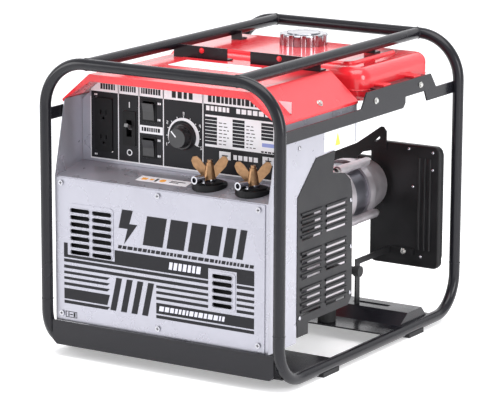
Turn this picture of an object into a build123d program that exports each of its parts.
from build123d import *
import math
import os

# Engine driven welder in a tubular carrying frame, millimetres, +Z up, -Y is the control side.
# Heights are measured from the underside of the bottom tubes. save() lifts every node by the
# height of the rubber feet, so the exported model stands on z = 0.

# ---- driving dimensions: frame ----
TUBE_OD = 22.2
TUBE_WALL = 2.0
FRAME_HALF_W = 258.0        # tube centre to the middle plane
FRAME_HALF_L = 340.0
FRAME_TOP_Z = 565.0
CORNER_R = 88.0             # bends of the two hoops
SKID_R = 75.0               # bends of the two bottom skids
HOOP_END = 20.0             # straight leg between skid bend and hoop joint
RAIL_HALF_SPAN = 165.0
FOOT_H = 5.0
FOOT_L = 58.0
FOOT_W = 20.0
FOOT_Y = 166.0
SHEET = 3.0                 # frame sheet metal
WELD_SINK = 6.0             # how far sheet ends reach over a tube before they are coped

# ---- driving dimensions: floor members ----
TRAY_REAR_Y = -150.0
TRAY_FLANGE_Z = 66.0
TRAY_CORNER = 9.0
TRAY_FLOOR_SETBACK = 16.0
HAT_FRONT_Y = 52.0          # front edge of the flat flange
HAT_RISE_Y = 118.0          # where the flange turns up
HAT_TOP_Y0 = 150.0
HAT_TOP_Y1 = 206.0
HAT_FALL_Y = 226.0
HAT_REAR_Y = 240.0
HAT_TOP_Z = 42.0
HAT_SLOT_X = 159.0
HAT_SLOT_L = 80.0
HAT_SLOT_W = 14.0
FLOOR_Z = 19.0              # underside of the floor members

# ---- driving dimensions: side rails ----
SIDE_RAIL_X = 249.0
SIDE_RAIL_LOW_Z = 453.0
SIDE_RAIL_TOP_Z = 476.0
TANK_SEAT_Z = 505.0

BRACKET_FRONT_Y = -44.0     # web of the two brackets over the hood
BRACKET_REAR_Y = 165.0
BRACKET_LEFT_REACH = 122.0
BRACKET_RIGHT_REACH = 155.0

# ---- driving dimensions: control box ----
BOX_LEFT_X = -245.0
BOX_RIGHT_X = 229.0
BOX_FRONT_Y = -330.0
BOX_REAR_Y = -15.0
BOX_BOTTOM_Z = 64.0
SHELF_FRONT_Z = 345.0
PANEL_Y = -240.0
PANEL_T = 2.0
SHELF_RISE = 16.0
HOOD_FRONT_Y = -300.0
HOOD_EDGE_Z = 487.0
HOOD_TOP_Z = 540.0
HOOD_CHAMFER_W = 62.0
BOX_SHEET = 1.6
GAP = 0.4                   # clearance between loose-fitting covers
SCREW_D = 6.0
SCREW_HEAD_D = 10.5

FRONT_PANEL_T = 2.0
SCREW_ROWS = (80.0, 333.0)
SCREW_COLUMNS = (-229.0, -10.0, 209.0)

# ---- driving dimensions: instrument panel, as left, right, low and high edges ----
OUTLET = (-212.0, -172.0, 382.0, 486.0)
BREAKER = (-149.0, -119.0, 399.0, 466.0)
ROCKER_UP = (-106.0, -73.0, 449.0, 492.0)
ROCKER_LOW = (-106.0, -73.0, 380.0, 422.0)
PANEL_CUTS = (OUTLET, BREAKER, ROCKER_UP, ROCKER_LOW)
BREAKER_REST = 22.0         # tilt of the lever above the horizontal
ROCKER_REST = 8.0
DIAL_X = -12.0
DIAL_Z = 430.0
KNOB_SKIRT_R = 26.0
KNOB_GRIP_R = 21.0

# ---- driving dimensions: weld terminals ----
TERMINALS = (74.0, 168.0)
TERMINAL_Y = -286.0
TERMINAL_BASE_R = 33.0
TERMINAL_BASE_H = 10.0
STUD_R = 5.0
STUD_RISE = 40.0
SOCKET_T = 5.0
SOCKET_TURN = -10.0
WASHER_T = 2.5
WING_TURN = 30.0

# ---- driving dimensions: engine and generator ----
CRANK_X = 85.0
CRANK_Z = 260.0
BED_Z = 92.0                # top of the engine bed
BED_T = 4.0
LUG_R = 74.0                # through bolt circle of the generator
LUG_TURN = 11.0             # bolt circle turned from the square position
LUG_D = 19.0
THROUGH_BOLT_D = 8.0
THROUGH_HEAD_R = 7.0
STATOR_OD = 116.0
STATOR_ID = 72.0
AIR_GAP = 0.8
SHAFT_D = 25.0
RUN_GAP = 0.05              # running clearance of a shaft in a bore, radial
GEN_FRONT_Y = 110.0
GEN_REAR_Y = 208.0
DOME_END_Y = 278.0
DOME_END_R = 50.0
COVER_WALL = 5.0
CASE_FRONT_Y = -95.0
CASE_REAR_Y = 62.0
CASE_R = 86.0
CYL_TILT = 25.0             # cylinder axis above the horizontal, leaning to -X
FLYWHEEL_R = 82.0
BLOWER_FRONT_Y = -150.0
RECOIL_FRONT_Y = -172.0
OIL_Y = -20.0
OIL_RISE = 58.0             # oil filler above the engine bed
DRAIN_Y = 6.0
DRAIN_Z = 152.0
DRAIN_END_X = 230.0
BED_FRONT_Y = -222.0
BED_REAR_Y = 100.0
MOUNT_FRONT_Y = -204.0
MOUNT_REAR_Y = 80.0
CARB_H = 34.0
CLEANER_H = 44.0
CHOKE_RISE = 20.0           # choke pivot above the carburettor foot

# ---- driving dimensions: tank ----
TANK_HALF_W = 226.0
TANK_FRONT_Y = 12.0
TANK_REAR_Y = 284.0
TANK_CORNER_R = 30.0
TANK_FIELD_H = 5.0
TANK_LOW_Z = 478.0
TANK_TOP_Z = 541.0
CAP_X = -14.0
CAP_Y = 195.0
CAP_D = 96.0

# ---- driving dimensions: muffler ----
MUF_X0 = 87.0
MUF_X1 = 246.0
MUF_Z0 = 97.0
MUF_Z1 = 347.0
MUF_FRONT_Y = 292.0
MUF_DEPTH = 40.0
LOW_STAY_X = 134.0
LOW_STAY_LEG_Y = 152.0

TUBE_R = TUBE_OD / 2
SKID_TOP_Z = TUBE_R + SKID_R + HOOP_END
BOX_MID_X = (BOX_LEFT_X + BOX_RIGHT_X) / 2


def save(name, shape):
    """Lift a sub-part by the rubber feet and write it as its own node."""
    lifted = [solid.moved(Location((0, 0, FOOT_H))) for solid in shape.solids()]
    whole = lifted[0] if len(lifted) == 1 else Compound(children=lifted)
    export_step(whole, f"parts/{name}.step")


def group(solids):
    """Keep several separate solids together in one node."""
    found = []
    for item in solids:
        found.extend(item.solids())
    return Compound(children=found)


def box(x0, x1, y0, y1, z0, z1):
    """A block between two corners."""
    size = (x1 - x0, y1 - y0, z1 - z0)
    return Pos((x0 + x1) / 2, (y0 + y1) / 2, (z0 + z1) / 2) * Box(*size)


def rod_x(x0, x1, y, z, radius):
    """A cylinder along X."""
    return Pos((x0 + x1) / 2, y, z) * Rot(0, 90, 0) * Cylinder(radius, x1 - x0)


def rod_y(x, y0, y1, z, radius):
    """A cylinder along Y."""
    return Pos(x, (y0 + y1) / 2, z) * Rot(90, 0, 0) * Cylinder(radius, y1 - y0)


def rod_z(x, y, z0, z1, radius):
    """A cylinder along Z."""
    return Pos(x, y, (z0 + z1) / 2) * Cylinder(radius, z1 - z0)


def cone_y(x, y0, y1, z, r0, r1):
    """A cone along +Y with radius r0 at y0 and r1 at y1."""
    return Pos(x, (y0 + y1) / 2, z) * Rot(-90, 0, 0) * Cone(r0, r1, y1 - y0)


def plate_yz(points, x0, x1):
    """A flat plate whose outline is given in the YZ plane."""
    face = make_face(Polyline(*[(0, y, z) for y, z in points], close=True))
    return Pos(x0, 0, 0) * extrude(face, amount=x1 - x0, dir=(1, 0, 0))


def plate_xz(points, y0, y1):
    """A flat plate whose outline is given in the XZ plane."""
    face = make_face(Polyline(*[(x, 0, z) for x, z in points], close=True))
    return Pos(0, y0, 0) * extrude(face, amount=y1 - y0, dir=(0, 1, 0))


def slot_xz(x0, x1, z, height, y0, y1):
    """A slot with round ends that runs along X and goes through along Y."""
    radius = height / 2
    body = box(x0 + radius, x1 - radius, y0, y1, z - radius, z + radius)
    return body + rod_y(x0 + radius, y0, y1, z, radius) + rod_y(x1 - radius, y0, y1, z, radius)


def tube_along(points, bend_r, radius):
    """A round bar along straight runs joined by tangent arcs."""
    path = FilletPolyline(*points, radius=bend_r)
    section = Plane(origin=path @ 0, z_dir=path % 0) * Circle(radius)
    return sweep(section, path=path)


def hoop(y, radius):
    """One upright hoop: leg, corner, top bar, corner, leg."""
    x, low, top = FRAME_HALF_W, SKID_TOP_Z, FRAME_TOP_Z
    return tube_along([(-x, y, low), (-x, y, top), (x, y, top), (x, y, low)], CORNER_R, radius)


def skid(x, radius):
    """One bottom skid with an upturned bend at each end."""
    y, low, top = FRAME_HALF_L, TUBE_R, SKID_TOP_Z
    return tube_along([(x, -y, top), (x, -y, low), (x, y, low), (x, y, top)], SKID_R, radius)


def frame_bars(radius):
    """Every bar of the loop, as plain round bars."""
    hoops = [hoop(-FRAME_HALF_L, radius), hoop(FRAME_HALF_L, radius)]
    return hoops + [skid(-FRAME_HALF_W, radius), skid(FRAME_HALF_W, radius)]


def cut_all(shape, tools):
    """Cut a shape with each tool in turn."""
    for tool in tools:
        shape = shape - tool
    return shape


def make_frame(bars):
    """Hoops, skids and the two top rails, as thin-walled tubes."""
    bores = frame_bars(TUBE_R - TUBE_WALL)
    names = ["front_hoop", "rear_hoop", "left_skid", "right_skid"]
    for name, bar, bore in zip(names, bars, bores):
        save(name, bar - bore)
    rails = []
    reach = FRAME_HALF_L
    for x in (-RAIL_HALF_SPAN, RAIL_HALF_SPAN):
        rail = rod_y(x, -reach, reach, FRAME_TOP_Z, TUBE_R)
        rail = rail - rod_y(x, -reach, reach, FRAME_TOP_Z, TUBE_R - TUBE_WALL)
        rails.append(cut_all(rail, bars[:2]))
    save("top_rails", group(rails))


def make_feet():
    """Four rubber pads under the skids."""
    pads = []
    for x in (-FRAME_HALF_W, FRAME_HALF_W):
        for y in (-FOOT_Y, FOOT_Y):
            pad = box(x - FOOT_W / 2, x + FOOT_W / 2, y - FOOT_L / 2, y + FOOT_L / 2, -FOOT_H, 4)
            pads.append(pad - rod_y(x, y - FOOT_L, y + FOOT_L, TUBE_R, TUBE_R))
    save("rubber_feet", group(pads))


def hat_outline(drop):
    """Cross-section of the rear member, or of the hollow under its sheet."""
    low, top = FLOOR_Z + SHEET, HAT_TOP_Z
    if drop == 0:
        points = [(HAT_FRONT_Y, FLOOR_Z), (HAT_FRONT_Y, low), (HAT_RISE_Y, low), (HAT_TOP_Y0, top)]
        return points + [(HAT_TOP_Y1, top), (HAT_FALL_Y, low), (HAT_REAR_Y, low), (HAT_REAR_Y, FLOOR_Z)]
    points = [(HAT_RISE_Y + 2, FLOOR_Z), (HAT_TOP_Y0 + 1, top - drop)]
    return points + [(HAT_TOP_Y1 - 1, top - drop), (HAT_FALL_Y - 2, FLOOR_Z)]


def make_floor_members(bars):
    """The front tray with its upright flange and the rear hat section."""
    half = FRAME_HALF_W - WELD_SINK / 3
    front = -FRAME_HALF_L
    tray = box(-half, half, front, TRAY_REAR_Y, FLOOR_Z, FLOOR_Z + SHEET)
    reach = FRAME_HALF_W - TUBE_R
    flange = box(-reach, reach, front, front + SHEET, FLOOR_Z, TRAY_FLANGE_Z)
    flange = chamfer(flange.edges().filter_by(Axis.Y).sort_by(Axis.Z)[:2], TRAY_CORNER)
    tray = tray - box(-half - 5, half + 5, front - 5, front + TRAY_FLOOR_SETBACK, 0, TRAY_FLANGE_Z)
    inner = reach - TRAY_CORNER
    link = box(-inner, inner, front, front + TRAY_FLOOR_SETBACK, FLOOR_Z, FLOOR_Z + SHEET)
    save("front_tray", cut_all(tray + link + flange, bars))
    hat = plate_yz(hat_outline(0), -half, half) - plate_yz(hat_outline(SHEET), -half, half)
    for side in (-1, 1):
        mid = side * HAT_SLOT_X
        y = (HAT_TOP_Y0 + HAT_TOP_Y1) / 2
        x0, x1 = mid - HAT_SLOT_L / 2, mid + HAT_SLOT_L / 2
        hat = hat - box(x0, x1, y - HAT_SLOT_W / 2, y + HAT_SLOT_W / 2, HAT_TOP_Z - 9, HAT_TOP_Z + 9)
        end = [(HAT_RISE_Y, FLOOR_Z), (HAT_TOP_Y0, HAT_TOP_Z)]
        end += [(HAT_TOP_Y1, HAT_TOP_Z), (HAT_FALL_Y, FLOOR_Z)]
        x_end = side * (half - SHEET)
        hat = hat + plate_yz(end, min(x_end, side * half), max(x_end, side * half))
    save("rear_hat_member", cut_all(hat, bars))


def side_rail_outline():
    """Outline of a side rail, which widens to the tank seat and has a notch behind."""
    end = FRAME_HALF_L - WELD_SINK
    low, top, seat = SIDE_RAIL_LOW_Z, SIDE_RAIL_TOP_Z, TANK_SEAT_Z
    points = [(-end, low), (-end, top), (-34, top), (-14, seat), (238, seat), (261, top)]
    points += [(end, top), (end, low), (225, low), (215, top - 2), (137, top - 2)]
    points += [(137, low + 9), (128, low)]
    return points


def make_side_rails(bars):
    """Sheet rails between the hoops, with an inward flange that the tank sits on."""
    rails = []
    for side in (-1, 1):
        inner = side * (SIDE_RAIL_X - SHEET / 2)
        outer = side * (SIDE_RAIL_X + SHEET / 2)
        rail = plate_yz(side_rail_outline(), min(inner, outer), max(inner, outer))
        ledge = side * (SIDE_RAIL_X - 17)
        seat = box(min(ledge, outer), max(ledge, outer), 30, 222, TANK_SEAT_Z - SHEET, TANK_SEAT_Z)
        rails.append(cut_all(rail + seat, bars))
    save("side_rails", group(rails))


def make_tank_brackets():
    """Four sheet brackets that hang from the top rails towards the tank and the hood."""
    brackets = []
    hood_seat = HOOD_TOP_Z + GAP
    tank_seat = TANK_TOP_Z + TANK_FIELD_H + GAP
    for side in (-1, 1):
        x0 = side * RAIL_HALF_SPAN
        front = (BRACKET_FRONT_Y, BRACKET_LEFT_REACH if side < 0 else BRACKET_RIGHT_REACH, hood_seat)
        for y, reach, seat in (front, (BRACKET_REAR_Y, 24, tank_seat)):
            x1 = x0 - side * reach
            low, high = min(x0, x1), max(x0, x1)
            web = box(low, high, y, y + SHEET, seat, FRAME_TOP_Z)
            foot = box(low, high, y, y + 22, seat, seat + SHEET)
            rail = rod_y(x0, y - 30, y + 60, FRAME_TOP_Z, TUBE_R)
            brackets.append((web + foot) - rail)
    save("tank_brackets", group(brackets))


def cheek_outline():
    """Side view of the control box, with its sloping front above the shelf."""
    lip = HOOD_FRONT_Y + 2
    points = [(BOX_FRONT_Y, BOX_BOTTOM_Z), (BOX_FRONT_Y, SHELF_FRONT_Z)]
    return points + [(lip, HOOD_EDGE_Z), (BOX_REAR_Y, HOOD_EDGE_Z), (BOX_REAR_Y, BOX_BOTTOM_Z)]


def make_box_shell():
    """Sides, floor, sloping shelf and back of the control box."""
    t = BOX_SHEET
    left = plate_yz(cheek_outline(), BOX_LEFT_X, BOX_LEFT_X + t)
    right = plate_yz(cheek_outline(), BOX_RIGHT_X - t, BOX_RIGHT_X)
    window = [(-231, 40), (-231, 339), (-165, 403), (BOX_REAR_Y + 9, 410), (BOX_REAR_Y + 9, 40)]
    window = plate_yz(window, BOX_LEFT_X - 9, BOX_RIGHT_X + 9)
    left = left - window
    right = right - window
    x0, x1 = BOX_LEFT_X + t, BOX_RIGHT_X - t
    floor = box(x0, x1, BOX_FRONT_Y, PANEL_Y, BOX_BOTTOM_Z, BOX_BOTTOM_Z + t)
    rise = SHELF_FRONT_Z + SHELF_RISE
    shelf_points = [(BOX_FRONT_Y, SHELF_FRONT_Z - t), (BOX_FRONT_Y, SHELF_FRONT_Z)]
    shelf_points += [(PANEL_Y, rise), (PANEL_Y, rise - t)]
    shelf = plate_yz(shelf_points, x0, x1)
    for x in TERMINALS:
        shelf = shelf - rod_z(x, TERMINAL_Y, SHELF_FRONT_Z - 30, rise + 9, 9)
    back = box(x0, x1, PANEL_Y, PANEL_Y + t, BOX_BOTTOM_Z, rise)
    lip_low = box(x0, x1, BOX_FRONT_Y, BOX_FRONT_Y + t, BOX_BOTTOM_Z, BOX_BOTTOM_Z + 14)
    lip_high = box(x0, x1, BOX_FRONT_Y, BOX_FRONT_Y + t, SHELF_FRONT_Z - 16, SHELF_FRONT_Z)
    post = box(x1 - 26, x1, BOX_FRONT_Y, BOX_FRONT_Y + t, BOX_BOTTOM_Z, SHELF_FRONT_Z)
    shell = left + right + floor + shelf + back + lip_low + lip_high + post
    return cut_all(shell, screw_rods(SCREW_D / 2 + 0.2, BOX_FRONT_Y - 5, BOX_FRONT_Y + 9))


def screw_rods(radius, y0, y1):
    """Cylinders on the six screw places of the lower front panel."""
    places = [(x, z) for x in SCREW_COLUMNS for z in SCREW_ROWS]
    return [rod_y(x, y0, y1, z, radius) for x, z in places]


def make_front_panel():
    """Lower front panel with raised vent fields and their slots."""
    face_y = BOX_FRONT_Y - FRONT_PANEL_T
    right_x = BOX_RIGHT_X - 7
    panel = box(BOX_LEFT_X + 2, right_x, face_y, BOX_FRONT_Y, BOX_BOTTOM_Z + 2, SHELF_FRONT_Z - 2)
    panel = cut_all(panel, screw_rods(SCREW_D / 2 + 0.2, face_y - 5, BOX_FRONT_Y + 5))
    fields = [(-213, -110, 198.5, 296), (103, 160, 134, 208)]
    for x0, x1, z0, z1 in fields:
        pad = box(x0, x1, face_y - 1, face_y, z0, z1)
        panel = panel + fillet(pad.edges().filter_by(Axis.Y), 8)
    rows = [(-208, -164, 290 - 7 - 13.5 * i) for i in range(7)]
    rows += [(-158, -114, 290 - 7 - 13.5 * i) for i in range(7)]
    rows += [(110, 153, 198 - 13.5 * i) for i in range(5)]
    for x0, x1, z in rows:
        panel = panel - slot_xz(x0, x1, z, 8.4, face_y - 5, BOX_FRONT_Y + 5)
    save("front_lower_panel", panel)


def make_panel_screws():
    """Six pan head screws of the lower front panel."""
    face_y = BOX_FRONT_Y - FRONT_PANEL_T
    shanks = screw_rods(SCREW_D / 2, face_y, face_y + 12)
    heads = screw_rods(SCREW_HEAD_D / 2, face_y - 3, face_y)
    screws = []
    for shank, head in zip(shanks, heads):
        drive = head.bounding_box().center()
        x, z = drive.X, drive.Z
        cross = box(x - 3, x + 3, face_y - 4, face_y - 1.5, z - 0.7, z + 0.7)
        cross = cross + box(x - 0.7, x + 0.7, face_y - 4, face_y - 1.5, z - 3, z + 3)
        screws.append(shank + head - cross)
    save("panel_screws", group(screws))


def hood_outline(grow):
    """Cross-section of the hood, grown by the given amount."""
    x0, x1 = BOX_LEFT_X - grow, BOX_RIGHT_X + grow
    low = HOOD_EDGE_Z - 5
    top = HOOD_TOP_Z - BOX_SHEET + grow
    step = HOOD_CHAMFER_W
    points = [(x0, low), (x0, HOOD_EDGE_Z), (x0 + step, top), (x1 - step, top)]
    return points + [(x1, HOOD_EDGE_Z), (x1, low)]


def make_hood():
    """Top cover with chamfered sides, a shallow raised field and a front lip."""
    outer = plate_xz(hood_outline(BOX_SHEET), HOOD_FRONT_Y, BOX_REAR_Y)
    inner = plate_xz(hood_outline(0), HOOD_FRONT_Y - 1, BOX_REAR_Y + 1)
    shell = outer - inner
    rear = plate_xz(hood_outline(BOX_SHEET), BOX_REAR_Y, BOX_REAR_Y + BOX_SHEET)
    lip = plate_xz(hood_outline(BOX_SHEET), HOOD_FRONT_Y - BOX_SHEET, HOOD_FRONT_Y)
    edge, lip_z = HOOD_EDGE_Z - 8, HOOD_TOP_Z - 14
    x0, x1 = BOX_LEFT_X, BOX_RIGHT_X
    window = [(x0 - 9, 400), (x0 - 9, edge), (x0 + HOOD_CHAMFER_W, lip_z)]
    window += [(x1 - HOOD_CHAMFER_W, lip_z), (x1 + 9, edge), (x1 + 9, 400)]
    lip = lip - plate_xz(window, HOOD_FRONT_Y - 9, HOOD_FRONT_Y + 9)
    field = box(BOX_MID_X - 130, BOX_MID_X + 130, -262, -52, HOOD_TOP_Z, HOOD_TOP_Z + 3)
    field = chamfer(field.faces().sort_by(Axis.Z)[-1].edges(), 2.5)
    save("top_cover", shell + rear + lip + field)


def make_louvre_cover():
    """Black side cover with two columns of louvres."""
    x1 = BOX_RIGHT_X + 1.2
    depth = 12.0
    outline = [(-230.7, 97), (-230.7, 338.7), (-165.1, 402.4)]
    outline += [(-96, 405), (-104, 364), (-58, 356), (-37, 340), (-30, 316), (-28, 112), (-42, 97)]
    cover = plate_yz(outline, x1 - depth, x1)
    inner = offset(plate_yz(outline, 0, 1).faces().sort_by(Axis.X)[0], amount=-2)
    hollow = extrude(inner, amount=depth - 2, dir=(1, 0, 0))
    cover = cover - Pos(x1 - depth, 0, 0) * hollow
    cover = cover + box(x1 - 2, x1, -229, -190, 74, 99)
    for low in (112, 180, 254):
        for y0, y1 in ((-218, -142), (-128, -50)):
            for i in range(4):
                z = low + 6 + i * 14
                blade = box(x1 - 1, x1 + 2.4, y0, y1, z, z + 5)
                cover = cover + chamfer(blade.edges().filter_by(Axis.Y).sort_by(Axis.X)[-1:], 2)
                cover = cover - box(x1 - 9, x1 + 9, y0 + 3, y1 - 3, z - 5.2, z - 0.6)
    save("side_louvre_cover", cover)


def make_control_panel():
    """Instrument panel with cutouts, standing behind the shelf."""
    y0, y1 = PANEL_Y - PANEL_T, PANEL_Y
    low = SHELF_FRONT_Z + SHELF_RISE
    left, right = BOX_LEFT_X + BOX_SHEET + 1, BOX_RIGHT_X - BOX_SHEET - 1
    top = HOOD_EDGE_Z + 36
    slant = HOOD_CHAMFER_W * 36 / (HOOD_TOP_Z - HOOD_EDGE_Z)
    outline = [(left, low), (left, HOOD_EDGE_Z - 8), (left + slant + 8, top)]
    outline += [(right - slant - 8, top), (right, HOOD_EDGE_Z - 8), (right, low)]
    panel = plate_xz(outline, y0, y1)
    for x0, x1, z0, z1 in PANEL_CUTS:
        panel = panel - box(x0, x1, y0 - 5, y1 + 5, z0, z1)
    panel = panel - rod_y(DIAL_X, y0 - 5, y1 + 5, DIAL_Z, 6)
    save("control_panel", panel)


def make_outlet():
    """Duplex outlet, two sets of blade slots and two screws."""
    x0, x1, z0, z1 = (OUTLET[0] + GAP, OUTLET[1] - GAP, OUTLET[2] + GAP, OUTLET[3] - GAP)
    face_y = PANEL_Y - PANEL_T - 3
    body = box(x0, x1, face_y, PANEL_Y + 30, z0, z1)
    body = fillet(body.edges().filter_by(Axis.Y), 4)
    mid = (x0 + x1) / 2
    for z in (z0 + 28, z1 - 28):
        for x in (mid - 6, mid + 6):
            body = body - box(x - 1.1, x + 1.1, face_y - 1, face_y + 16, z - 4, z + 4)
        body = body - rod_y(mid, face_y - 1, face_y + 16, z - 11, 2.6)
    save("duplex_outlet", body)


def make_breaker():
    """Circuit breaker body and its toggle lever."""
    x0, x1, z0, z1 = (BREAKER[0] + GAP, BREAKER[1] - GAP, BREAKER[2] + GAP, BREAKER[3] - GAP)
    face_y = PANEL_Y - PANEL_T - 2
    mid_x, mid_z = (x0 + x1) / 2, (z0 + z1) / 2
    body = box(x0, x1, face_y, PANEL_Y + 45, z0, z1)
    body = body - box(mid_x - 6, mid_x + 6, face_y - 1, face_y + 16, mid_z - 16, mid_z + 16)
    save("breaker_body", body)
    hub = rod_x(mid_x - 5.7, mid_x + 5.7, face_y + 9, mid_z, 5)
    arm = Pos(mid_x, face_y - 2, mid_z) * Box(8, 20, 6)
    arm = Pos(0, face_y + 9, mid_z) * Rot(-BREAKER_REST, 0, 0) * Pos(0, -face_y - 9, -mid_z) * arm
    save("breaker_lever", hub + arm)


def rocker_place(cut):
    """Middle of a rocker opening and the pivot depth."""
    return (cut[0] + cut[1]) / 2, (cut[2] + cut[3]) / 2


def make_rocker(cut, name):
    """One rocker switch: a frame with side cheeks and the tilting rocker."""
    x0, x1, z0, z1 = (cut[0] + GAP, cut[1] - GAP, cut[2] + GAP, cut[3] - GAP)
    face_y = PANEL_Y - PANEL_T - 1.6
    mid_x, mid_z = rocker_place(cut)
    body = box(x0, x1, face_y, PANEL_Y + 28, z0, z1)
    well = box(x0 + 3, x1 - 3, face_y - 1, PANEL_Y + 14, z0 + 3, z1 - 3)
    pins = rod_x(x0 + 2, x0 + 5.6, PANEL_Y + 2, mid_z, 2)
    pins = pins + rod_x(x1 - 5.6, x1 - 2, PANEL_Y + 2, mid_z, 2)
    case = body - well + pins
    half = (z1 - z0) / 2 - 5
    face = PANEL_Y - 8.0
    points = [(PANEL_Y + 7, mid_z - 4), (face + 4, mid_z - half), (face + 1, mid_z - half)]
    points += [(face + 2.6, mid_z), (face + 1, mid_z + half), (face + 4, mid_z + half)]
    points += [(PANEL_Y + 7, mid_z + 4)]
    tilting = plate_yz(points, x0 + 3.6, x1 - 3.6)
    tilting = tilting - rod_x(x0, x1, PANEL_Y + 2, mid_z, 2 + RUN_GAP)
    pivot = Location((0, PANEL_Y + 2, mid_z))
    turned = pivot * Rot(ROCKER_REST, 0, 0) * pivot.inverse() * tilting
    save(name, turned)
    return case


def make_dial():
    """Current control: potentiometer behind the panel and a pointer knob in front."""
    face_y = PANEL_Y - PANEL_T
    pot = rod_y(DIAL_X, PANEL_Y + GAP / 4, PANEL_Y + 20, DIAL_Z, 14)
    bore = rod_y(DIAL_X, PANEL_Y - 5, PANEL_Y + 16, DIAL_Z, 3 + RUN_GAP)
    save("dial_potentiometer", pot - bore)
    skirt = cone_y(DIAL_X, face_y - 8, face_y - 0.8, DIAL_Z, KNOB_GRIP_R + 2, KNOB_SKIRT_R)
    grip = cone_y(DIAL_X, face_y - 24, face_y - 8, DIAL_Z, KNOB_GRIP_R - 3, KNOB_GRIP_R)
    knob = skirt + grip
    for i in range(12):
        angle = math.radians(30 * i)
        x = DIAL_X + (KNOB_GRIP_R + 1) * math.sin(angle)
        z = DIAL_Z + (KNOB_GRIP_R + 1) * math.cos(angle)
        knob = knob - rod_y(x, face_y - 30, face_y - 9, z, 2.6)
    stem = rod_y(DIAL_X, face_y - 10, PANEL_Y + 14, DIAL_Z, 3)
    save("dial_knob", knob + stem)


def terminal_tip_z():
    """Height of the shelf surface under the terminals."""
    share = (TERMINAL_Y - BOX_FRONT_Y) / (PANEL_Y - BOX_FRONT_Y)
    return SHELF_FRONT_Z + SHELF_RISE * share


def make_terminals():
    """Weld output terminals: base, stud, washer, wing nut and cable socket."""
    seat = terminal_tip_z()
    base_top = seat + TERMINAL_BASE_H
    bases = []
    studs = []
    sockets = []
    wedge = [(BOX_FRONT_Y - 9, SHELF_FRONT_Z - 1.4), (PANEL_Y + 9, SHELF_FRONT_Z + SHELF_RISE + 2)]
    wedge += [(PANEL_Y + 9, 300), (BOX_FRONT_Y - 9, 300)]
    for number, x in enumerate(TERMINALS, 1):
        base = rod_z(x, TERMINAL_Y, seat - 6, base_top - 3, TERMINAL_BASE_R)
        base = base + rod_z(x, TERMINAL_Y, base_top - 3, base_top, TERMINAL_BASE_R - 8)
        base = base - plate_yz(wedge, x - 60, x + 60)
        base = base + rod_z(x, TERMINAL_Y, seat - 12, base_top - 3, 8.6)
        bases.append(base - rod_z(x, TERMINAL_Y, seat - 30, base_top + 9, STUD_R))
        stud = rod_z(x, TERMINAL_Y, seat - 26, base_top + STUD_RISE, STUD_R)
        studs.append(stud + rod_z(x, TERMINAL_Y, seat - 20, seat - 12, 9))
        sockets.append(make_cable_socket(x, base_top))
        studs.append(make_wing_nut(x, base_top + SOCKET_T, number))
    save("terminal_bases", group(bases))
    save("terminal_studs_and_washers", group(studs))
    save("cable_sockets", group(sockets))


def make_cable_socket(x, seat):
    """Cable socket: an eye under the washer and a barrel that points to the front left."""
    eye = rod_z(0, 0, 0, SOCKET_T, 12)
    neck = box(-9, 9, -24, 0, 0, SOCKET_T)
    barrel = rod_y(0, -42, -20, 7.5, 7.5)
    socket = eye + neck + barrel
    socket = socket - rod_z(0, 0, -5, 30, 5.5) - rod_y(0, -45, -24, 7.5, 4.8)
    return Pos(x, TERMINAL_Y, seat) * Rot(0, 0, SOCKET_TURN) * socket


def make_wing_nut(x, seat, number):
    """Plain washer on the cable socket, which it returns, and the wing nut that turns above it."""
    ring = rod_z(x, TERMINAL_Y, seat, seat + WASHER_T, 12)
    ring = ring - rod_z(x, TERMINAL_Y, seat - 5, seat + 9, STUD_R + GAP)
    low = seat + WASHER_T + GAP
    hub = Pos(x, TERMINAL_Y, low + 11) * Cone(11, 7.5, 22)
    nut = hub + rod_z(x, TERMINAL_Y, low + 22, low + 27, 7.0)
    outline = [(6, 0), (12, 0), (30, 20), (34, 31), (31, 38), (24, 39), (17, 33), (6, 18)]
    wing_face = make_face(Polyline(*outline, close=True))
    wing = Rot(90, 0, 0) * extrude(wing_face, amount=2, both=True)
    wing = fillet(wing.edges().filter_by(Axis.Y), 1.5)
    for turn in (0, 180):
        nut = nut + Pos(x, TERMINAL_Y, low) * Rot(0, 0, WING_TURN + turn) * wing
    save(f"wing_nut_{number}", nut - rod_z(x, TERMINAL_Y, low - 5, low + 40, STUD_R + RUN_GAP))
    return ring


def make_box_internals():
    """Reactor, rectifier and control board inside the control box."""
    core = box(-60, 40, -318, -252, 70, 150) - box(-38, 18, -330, -240, 92, 128)
    feet = box(-60, 40, -318, -252, BOX_BOTTOM_Z + BOX_SHEET, 70)
    reactor = core + feet
    coil = box(-72, -39, -322, -248, 94, 126)
    window = box(-61, -37, -318.5, -251.5, 60, 160)
    coil = coil - window
    sink = box(120, 190, -300, -255, BOX_BOTTOM_Z + BOX_SHEET, 74)
    for i in range(8):
        x = 122 + i * 9
        sink = sink + box(x, x + 2.5, -300, -255, 74, 118)
    save("reactor_and_rectifier", group([reactor, coil, sink]))
    board = box(-200, -80, -246, PANEL_Y, 200, 320)
    for x, z in ((-180, 300), (-150, 240), (-110, 280)):
        board = board + box(x - 9, x + 9, -262, -246, z - 12, z + 12)
    save("control_board", board)


def lug_angles():
    """Angles of the four through bolts, in degrees from +X towards +Z."""
    return [45 + LUG_TURN + 90 * i for i in range(4)]


def lug_point(angle):
    """Place of a through bolt for an angle on the bolt circle."""
    turn = math.radians(angle)
    return CRANK_X + LUG_R * math.cos(turn), CRANK_Z + LUG_R * math.sin(turn)


def lugs(y0, y1, radius):
    """Cylinders at the four through bolts."""
    return [rod_y(x, y0, y1, z, radius) for x, z in map(lug_point, lug_angles())]


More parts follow.
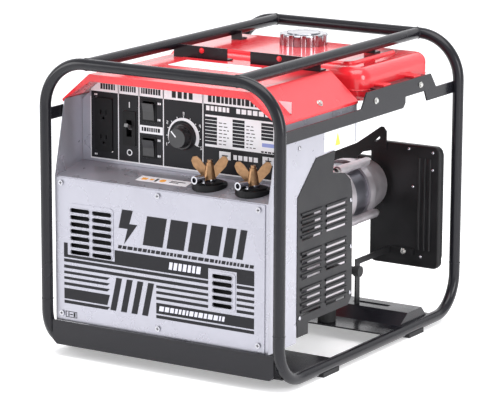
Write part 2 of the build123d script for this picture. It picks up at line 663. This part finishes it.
def adapter_cone():
    """Outside of the casting that carries the generator on the crankcase."""
    end_y = GEN_FRONT_Y + 12 - 20
    return cone_y(CRANK_X, CASE_REAR_Y, end_y, CRANK_Z, 84, STATOR_OD / 2 + 7)


def make_generator():
    """Stator, windings, brackets, through bolts and bearing of the generator."""
    x, z, t = CRANK_X, CRANK_Z, 6.0
    shaft_r = SHAFT_D / 2
    stator_r = STATOR_OD / 2
    y0, y1 = GEN_FRONT_Y + 12, GEN_REAR_Y - 12
    core = rod_y(x, y0, y1, z, stator_r) - rod_y(x, y0 - 5, y1 + 5, z, STATOR_ID / 2)
    save("stator_core", core)
    coils = []
    for a, b in ((y0 - 14, y0), (y1, y1 + 12)):
        ring = rod_y(x, a, b, z, stator_r - 8) - rod_y(x, a - 5, b + 5, z, STATOR_ID / 2 + 2)
        coils.append(fillet(ring.edges().filter_by(GeomType.CIRCLE), 2.5))
    save("stator_windings", group(coils))
    adapter = adapter_cone()
    adapter = adapter + rod_y(x, y0 - 20, y0 + 8, z, stator_r + 7)
    for lug in lugs(y0 - 30, y0 + 8, LUG_D / 2):
        adapter = adapter + lug
    cavity = cone_y(x, CASE_REAR_Y + 8, y0 - 18, z, 77, stator_r)
    cavity = cavity + rod_y(x, y0 - 18, y0 + 20, z, stator_r)
    adapter = adapter - cavity
    adapter = adapter - rod_y(x, CASE_REAR_Y - 5, CASE_REAR_Y + 20, z, 30)
    for angle in (90, 210, 330):
        turn = math.radians(angle)
        vent = rod_y(x + 52 * math.cos(turn), 0, 90, z + 52 * math.sin(turn), 14)
        adapter = adapter - vent
    adapter = cut_all(adapter, lugs(y0 - 60, y0 - 30, THROUGH_HEAD_R + 1.5))
    save("generator_adapter", cut_all(adapter, lugs(0, 300, THROUGH_BOLT_D / 2 + 0.2)))
    rim_r = stator_r + COVER_WALL
    cover = rod_y(x, y1 - 8, GEN_REAR_Y, z, rim_r)
    cover = cover + cone_y(x, GEN_REAR_Y, DOME_END_Y, z, rim_r, DOME_END_R)
    for lug in lugs(y0 + 8 + GAP, GEN_REAR_Y, LUG_D / 2 - 1):
        cover = cover + lug
    for px, pz in map(lug_point, lug_angles()):
        web = box(-LUG_R, -stator_r - 1, y1 - 8, GEN_REAR_Y, -5, 5)
        turn = math.degrees(math.atan2(pz - z, px - x))
        cover = cover + Pos(x, 0, z) * Rot(0, 180 - turn, 0) * web
    hollow = rod_y(x, y1 - 20, GEN_REAR_Y, z, stator_r)
    hollow = hollow + cone_y(x, GEN_REAR_Y, DOME_END_Y - t, z, stator_r, DOME_END_R - 4)
    cover = cover - hollow
    cover = cover + rod_y(x, DOME_END_Y - 22, DOME_END_Y - t, z, 32)
    cover = cover - rod_y(x, 200, DOME_END_Y - t, z, 26)
    for i in range(6):
        turn = math.radians(30 + 60 * i)
        cover = cover - rod_y(x + 40 * math.cos(turn), 260, 320, z + 40 * math.sin(turn), 4)
    cover = cut_all(cover, lugs(GEN_REAR_Y, GEN_REAR_Y + 60, THROUGH_HEAD_R + 1.5))
    cover = cut_all(cover, lugs(0, 300, THROUGH_BOLT_D / 2 + 0.2))
    brush = box(x - 9, x + 9, DOME_END_Y - 42, DOME_END_Y - 24, z + 21.5, z + 40)
    save("generator_end_cover", group([cover, brush]))
    bearing = rod_y(x, DOME_END_Y - 22, DOME_END_Y - 8, z, 26)
    bearing = bearing - rod_y(x, 200, 320, z, shaft_r + RUN_GAP)
    save("rotor_bearing", bearing)
    bolts = []
    heads = lugs(y0 - 37, y0 - 30, THROUGH_HEAD_R)
    nuts = lugs(GEN_REAR_Y, GEN_REAR_Y + 7, THROUGH_HEAD_R)
    rods = lugs(y0 - 36, GEN_REAR_Y + 10, THROUGH_BOLT_D / 2)
    for rod, head, nut in zip(rods, heads, nuts):
        bolts.append(rod + head + nut)
    save("generator_through_bolts", group(bolts))


def make_rotor_and_crank():
    """The one turning assembly: rotor, crankshaft and flywheel with its fan."""
    x, z = CRANK_X, CRANK_Z
    shaft_r = SHAFT_D / 2
    y0, y1 = GEN_FRONT_Y + 14, GEN_REAR_Y - 14
    rotor = rod_y(x, y0, y1, z, STATOR_ID / 2 - AIR_GAP)
    rotor = rotor + rod_y(x, CASE_REAR_Y + 6, DOME_END_Y - 7, z, shaft_r)
    for a in (DOME_END_Y - 40, DOME_END_Y - 32):
        rotor = rotor + rod_y(x, a, a + 5, z, 21)
    fan = rod_y(x, CASE_REAR_Y + 24, CASE_REAR_Y + 28, z, 58)
    for i in range(10):
        blade = Rot(0, 36 * i, 0) * box(24, 55, CASE_REAR_Y + 28, CASE_REAR_Y + 41, -1.5, 1.5)
        fan = fan + Pos(x, 0, z) * blade
    save("rotor", rotor + fan)
    main_r = 15.0
    crank = rod_y(x, CASE_REAR_Y - 50, CASE_REAR_Y + 6, z, main_r)
    crank = crank + rod_y(x, CASE_FRONT_Y - 38, CASE_FRONT_Y + 55, z, main_r)
    for a in (CASE_FRONT_Y + 50, CASE_REAR_Y - 62):
        crank = crank + rod_y(x, a, a + 12, z, 46)
    crank = crank + rod_y(x, CASE_FRONT_Y + 55, CASE_REAR_Y - 55, z + 26, 14)
    save("crankshaft", crank)
    wheel = rod_y(x, CASE_FRONT_Y - 22, CASE_FRONT_Y - 8, z, FLYWHEEL_R)
    wheel = wheel + rod_y(x, CASE_FRONT_Y - 38, CASE_FRONT_Y - 4, z, 24)
    for i in range(14):
        fin = box(46, FLYWHEEL_R - 2, CASE_FRONT_Y - 40, CASE_FRONT_Y - 22, -1.5, 1.5)
        fin = Rot(0, 360 / 14 * i, 0) * fin
        wheel = wheel + Pos(x, 0, z) * fin
    save("flywheel_fan", wheel - rod_y(x, -200, 0, z, main_r))


def toward_head(distance, side=0.0):
    """A point on the cylinder axis, or beside it, in the XZ plane."""
    turn = math.radians(CYL_TILT)
    along = (-math.cos(turn), math.sin(turn))
    across = (math.sin(turn), math.cos(turn))
    x = CRANK_X + along[0] * distance + across[0] * side
    z = CRANK_Z + along[1] * distance + across[1] * side
    return x, z


def tilted_block(d0, d1, y0, y1, half):
    """A block along the cylinder axis between two distances from the crank."""
    x, z = toward_head((d0 + d1) / 2)
    block = Box(d1 - d0, y1 - y0, 2 * half)
    return Pos(x, (y0 + y1) / 2, z) * Rot(0, CYL_TILT, 0) * block


def make_engine_core():
    """Crankcase, finned cylinder, head cover and plug."""
    x, z = CRANK_X, CRANK_Z
    y0, y1 = CASE_FRONT_Y, CASE_REAR_Y
    case = rod_y(x, y0, y1, z, CASE_R)
    case = case + box(x - CASE_R, x + CASE_R, y0, y1, BED_Z, z)
    case = case + tilted_block(20, 96, y0 + 24, y1 - 24, 52)
    wall = 8.0
    hollow = rod_y(x, y0 + wall, y1 - wall, z, CASE_R - wall)
    hollow = hollow + box(x - CASE_R + wall, x + CASE_R - wall, y0 + wall, y1 - wall, BED_Z + wall, z)
    bore = tilted_block(20, 110, -50, 18, 34)
    case = case - hollow - bore - rod_y(x, y0 - 5, y1 + 5, z, 15 + RUN_GAP)
    case = case - rod_x(x + CASE_R - 20, x + CASE_R + 5, OIL_Y, BED_Z + OIL_RISE, 9)
    save("crankcase", case)
    barrel = tilted_block(96, 168, y0 + 30, y1 - 30, 44)
    for i in range(8):
        at = 99 + i * 9
        barrel = barrel + tilted_block(at, at + 3, y0 + 14, y1 - 14, 60)
    barrel = barrel - tilted_block(90, 160, -50, 18, 33)
    head = tilted_block(168, 190, y0 + 18, y1 - 18, 56)
    save("cylinder_and_head", group([barrel, head]))
    cover = tilted_block(190, 216, y0 + 28, y1 - 28, 42)
    save("rocker_cover", fillet(cover.edges(), 6))
    px, pz = toward_head(180, 56)
    qx, qz = toward_head(180, 100)
    plug_dir = Vector(qx - px, 0, qz - pz)
    start = Plane(origin=(px, -40, pz), z_dir=plug_dir)
    plug = start * Pos(0, 0, 6) * Cylinder(9, 12)
    plug = plug + start * Pos(0, 0, 27) * Cylinder(6, 30)
    save("spark_plug", plug)


def make_engine_covers():
    """Blower housing, recoil starter, oil filler, drain and ignition coil."""
    x, z = CRANK_X, CRANK_Z
    y0, y1 = BLOWER_FRONT_Y, CASE_FRONT_Y
    outer_r = FLYWHEEL_R + 20
    housing = rod_y(x, y0, y1, z, outer_r) + tilted_block(40, 190, y0, y1, 66)
    inside = rod_y(x, y0 + 2, y1 + 5, z, outer_r - 2) + tilted_block(40, 188, y0 + 2, y1 + 5, 64)
    housing = housing - inside - rod_y(x, y0 - 5, y0 + 9, z, 62)
    save("blower_housing", housing)
    cover = cone_y(x, RECOIL_FRONT_Y, y0, z, 66, 80)
    cover = cover - cone_y(x, RECOIL_FRONT_Y + 2.5, y0 + 0.01, z, 63, 77)
    for i in range(16):
        turn = math.radians(22.5 * i)
        px, pz = x + 46 * math.cos(turn), z + 46 * math.sin(turn)
        cover = cover - rod_y(px, RECOIL_FRONT_Y - 5, RECOIL_FRONT_Y + 9, pz, 5)
    cover = cover + rod_y(x, RECOIL_FRONT_Y + 2, RECOIL_FRONT_Y + 18, z, 6)
    guide = box(x - 132, x - 70, RECOIL_FRONT_Y + 2, y0, z + 38, z + 56)
    guide = guide - rod_x(x - 140, x - 40, (RECOIL_FRONT_Y + y0) / 2 + 1, z + 47, 4)
    ear = box(x - 80, x - 50, RECOIL_FRONT_Y + 4, y0, z + 36, z + 58)
    ear = ear - cone_y(x, RECOIL_FRONT_Y + 2.5, y0 + 0.01, z, 63, 77)
    save("recoil_cover", cover + guide + ear)
    pulley = rod_y(x, RECOIL_FRONT_Y + 4, RECOIL_FRONT_Y + 16, z, 52)
    groove = rod_y(x, RECOIL_FRONT_Y + 7, RECOIL_FRONT_Y + 13, z, 60)
    groove = groove - rod_y(x, 0 + RECOIL_FRONT_Y, RECOIL_FRONT_Y + 20, z, 40)
    pulley = pulley - groove - rod_y(x, RECOIL_FRONT_Y, RECOIL_FRONT_Y + 30, z, 6 + RUN_GAP)
    save("recoil_pulley", pulley)
    gx = x - 132 - GAP
    gy, gz = (RECOIL_FRONT_Y + y0) / 2 + 1, z + 47
    grip = box(gx - 20, gx, gy - 9, gy + 9, gz - 52, gz + 52)
    grip = fillet(grip.edges().filter_by(Axis.X), 8)
    save("recoil_grip", grip - rod_x(gx - 30, gx + 5, gy, gz, 3))
    oil_z = BED_Z + OIL_RISE
    side = x + CASE_R
    cap = rod_x(side - 14, side, OIL_Y, oil_z, 8.6) + rod_x(side, side + 12, OIL_Y, oil_z, 15)
    for i in range(6):
        turn = math.radians(60 * i)
        py, pz = OIL_Y + 17 * math.cos(turn), oil_z + 17 * math.sin(turn)
        cap = cap - rod_x(side + 3, side + 20, py, pz, 5)
    save("oil_filler_cap", cap)
    drain = rod_x(side, DRAIN_END_X, DRAIN_Y, DRAIN_Z, 8)
    drain = drain + rod_x(DRAIN_END_X - 12, DRAIN_END_X, DRAIN_Y, DRAIN_Z, 10.5)
    return drain


def make_intake():
    """Carburettor, air cleaner and choke lever on top of the cylinder head."""
    hx, hz = toward_head(178, 56)
    carb = box(hx - 18, hx + 26, 4, 40, hz - 2, hz + CARB_H)
    carb = carb - tilted_block(60, 240, -60, 60, 60)
    pivot_z = hz + CHOKE_RISE
    carb = carb + rod_y(hx + 4, 22, 50, pivot_z, 12)
    save("carburettor", carb)
    low = hz + CARB_H
    cleaner = box(hx - 40, hx + 62, -26, 62, low, low + CLEANER_H)
    cleaner = fillet(cleaner.edges().filter_by(Axis.Z), 12)
    save("air_cleaner", fillet(cleaner.faces().sort_by(Axis.Z)[-1].edges(), 6))
    pivot = rod_y(hx + 4, 50 + GAP, 54, pivot_z, 6)
    lever = pivot + box(hx + 1, hx + 7, 50 + GAP, 54, pivot_z - 34, pivot_z)
    lever = lever + box(hx - 1, hx + 9, 50 + GAP, 62, pivot_z - 42, pivot_z - 32)
    save("choke_lever", lever)


def make_exhaust():
    """Muffler with a flange seam, its stays and the exhaust pipe."""
    y0, y1 = MUF_FRONT_Y, MUF_FRONT_Y + MUF_DEPTH
    mid = y0 + 14
    front = box(MUF_X0, MUF_X1, y0, mid, MUF_Z0, MUF_Z1)
    front = fillet(front.edges().filter_by(Axis.Y), 14)
    front = fillet(front.faces().sort_by(Axis.Y)[0].edges(), 5)
    inset = 9.0
    rear = box(MUF_X0 + inset, MUF_X1 - inset, mid, y1, MUF_Z0 + inset, MUF_Z1 - inset)
    rear = fillet(rear.edges().filter_by(Axis.Y), 14)
    rear = fillet(rear.faces().sort_by(Axis.Y)[-1].edges(), 8)
    body = front + rear
    outlet_x, outlet_z = MUF_X1 - 50, MUF_Z1 - 50
    body = body + rod_y(outlet_x, y1 - 4, y1 + 1.5, outlet_z, 14)
    hollow = box(MUF_X0 + 14, MUF_X1 - 14, y0 + 3, y1 - 4, MUF_Z0 + 14, MUF_Z1 - 14)
    body = body - hollow - rod_y(outlet_x, y1 - 9, y1 + 9, outlet_z, 10)
    save("muffler", body)
    ex, ez = toward_head(179, -44)
    exit_y = mid + 13
    points = [(ex, CASE_REAR_Y - 18, ez), (ex, exit_y, ez), (MUF_X0 + inset, exit_y, ez)]
    pipe = tube_along(points, 45, 13) - tube_along(points, 45, 10.5)
    y = MUF_FRONT_Y
    horn = [(6, 262), (6, 315), (57, 338), (80, 354), (112, 377), (118, 377), (125, 368)]
    horn += [(125, 330), (92, 326), (71, 321), (60, 311), (60, 262)]
    stay = plate_xz(horn, y - SHEET, y)
    hole = [(97, 345), (109, 357), (111, 354), (104, 345)]
    stay = stay - plate_xz(hole, y - 9, y + 9)
    stay = stay - rod_y(CRANK_X, y - 9, y + 9, CRANK_Z, DOME_END_R + 4)
    arm_x, leg_y = LOW_STAY_X, LOW_STAY_LEG_Y
    low_stay = box(arm_x, arm_x + 56, y - SHEET, y, 122, 134)
    arm = box(arm_x, arm_x + SHEET, leg_y, y, 122, 134)
    leg = box(arm_x, arm_x + SHEET, leg_y, leg_y + 16, HAT_TOP_Z, 134)
    save("exhaust_pipe_and_stays", group([pipe, stay, low_stay + arm + leg]))


def make_bed_and_mounts(drain):
    """Engine bed plate and four rubber mounts between it and the floor members."""
    x0, x1 = CRANK_X - 150, CRANK_X + 50
    bed = box(x0, x1, BED_FRONT_Y, BED_REAR_Y, BED_Z - BED_T, BED_Z)
    stand = box(CRANK_X - 45, CRANK_X + 45, CASE_REAR_Y + 4, CASE_REAR_Y + 20, BED_Z, CRANK_Z - 60)
    save("engine_bed", group([bed, stand - adapter_cone()]))
    mounts = [drain]
    for x in (x0 + 22, x1 - 22):
        for y in (MOUNT_FRONT_Y, MOUNT_REAR_Y):
            mounts.append(rod_z(x, y, FLOOR_Z + SHEET, BED_Z - BED_T, 18))
    save("rubber_mounts", group(mounts))


def make_tank():
    """Fuel tank with a seam, filler neck, threaded cap and cock."""
    y0, y1 = TANK_FRONT_Y, TANK_REAR_Y
    x = TANK_HALF_W
    tank = box(-x, x, y0, y1, TANK_LOW_Z, TANK_TOP_Z)
    tank = fillet(tank.edges().filter_by(Axis.Z), TANK_CORNER_R)
    tank = fillet(tank.faces().sort_by(Axis.Z)[-1].edges(), 20)
    tank = fillet(tank.faces().sort_by(Axis.Z)[0].edges(), 14)
    field_z = TANK_TOP_Z + TANK_FIELD_H
    field = box(-x + 50, x - 50, y0 + 40, y1 - 40, TANK_TOP_Z - 4, field_z)
    field = fillet(field.edges().filter_by(Axis.Z), 22)
    tank = tank + chamfer(field.faces().sort_by(Axis.Z)[-1].edges(), 4)
    for side in (-1, 1):
        far = side * (SIDE_RAIL_X - SHEET / 2 - 1)
        near = side * (x - 16)
        for y in (70, 190):
            tank = tank + box(min(far, near), max(far, near), y - 14, y + 14, TANK_SEAT_Z, TANK_SEAT_Z + 3)
    neck_z = TANK_TOP_Z + 13
    tank = tank + rod_z(CAP_X, CAP_Y, TANK_TOP_Z - 6, neck_z, 30)
    inner = box(-x + 22, x - 22, y0 + 22, y1 - 22, TANK_LOW_Z + 4, TANK_TOP_Z - 4)
    tank = tank - inner - rod_z(CAP_X, CAP_Y, TANK_TOP_Z - 12, neck_z + 5, 27)
    save("fuel_tank", tank)
    seat = field_z + GAP
    cap = rod_z(CAP_X, CAP_Y, seat, seat + 22, CAP_D / 2)
    cap = fillet(cap.faces().sort_by(Axis.Z)[-1].edges(), 3)
    for i in range(12):
        turn = math.radians(30 * i)
        px = CAP_X + (CAP_D / 2 + 4) * math.cos(turn)
        py = CAP_Y + (CAP_D / 2 + 4) * math.sin(turn)
        cap = cap - rod_z(px, py, seat - 5, seat + 30, 8)
    cap = cap - rod_z(CAP_X, CAP_Y, seat - 5, seat + 14, 31)
    cap = cap + rod_z(CAP_X, CAP_Y, neck_z - 9, seat + 16, 26.5)
    save("fuel_cap", cap)
    cock_x, cock_y = -120.0, 40.0
    cock = rod_z(cock_x, cock_y, TANK_LOW_Z - 26, TANK_LOW_Z, 9)
    cock = cock + rod_x(cock_x - 24, cock_x, cock_y, TANK_LOW_Z - 16, 7)
    save("fuel_cock", cock)
    end, pivot_z = cock_x - 24 - GAP, TANK_LOW_Z - 16
    lever = rod_x(end - 5, end, cock_y, pivot_z, 8)
    lever = lever + box(end - 5, end, cock_y - 4, cock_y + 30, pivot_z - 4, pivot_z + 4)
    save("fuel_cock_lever", lever)


def main():
    os.makedirs("parts", exist_ok=True)
    bars = frame_bars(TUBE_R)
    make_frame(bars)
    make_feet()
    make_floor_members(bars)
    make_side_rails(bars)
    make_tank_brackets()
    save("control_box_shell", make_box_shell())
    make_front_panel()
    make_panel_screws()
    make_hood()
    make_louvre_cover()
    make_control_panel()
    make_outlet()
    make_breaker()
    upper = make_rocker(ROCKER_UP, "slow_down_rocker")
    lower = make_rocker(ROCKER_LOW, "frequency_rocker")
    save("rocker_switch_bodies", group([upper, lower]))
    make_dial()
    make_terminals()
    make_box_internals()
    make_generator()
    make_rotor_and_crank()
    make_engine_core()
    drain = make_engine_covers()
    make_intake()
    make_exhaust()
    make_bed_and_mounts(drain)
    make_tank()


main()
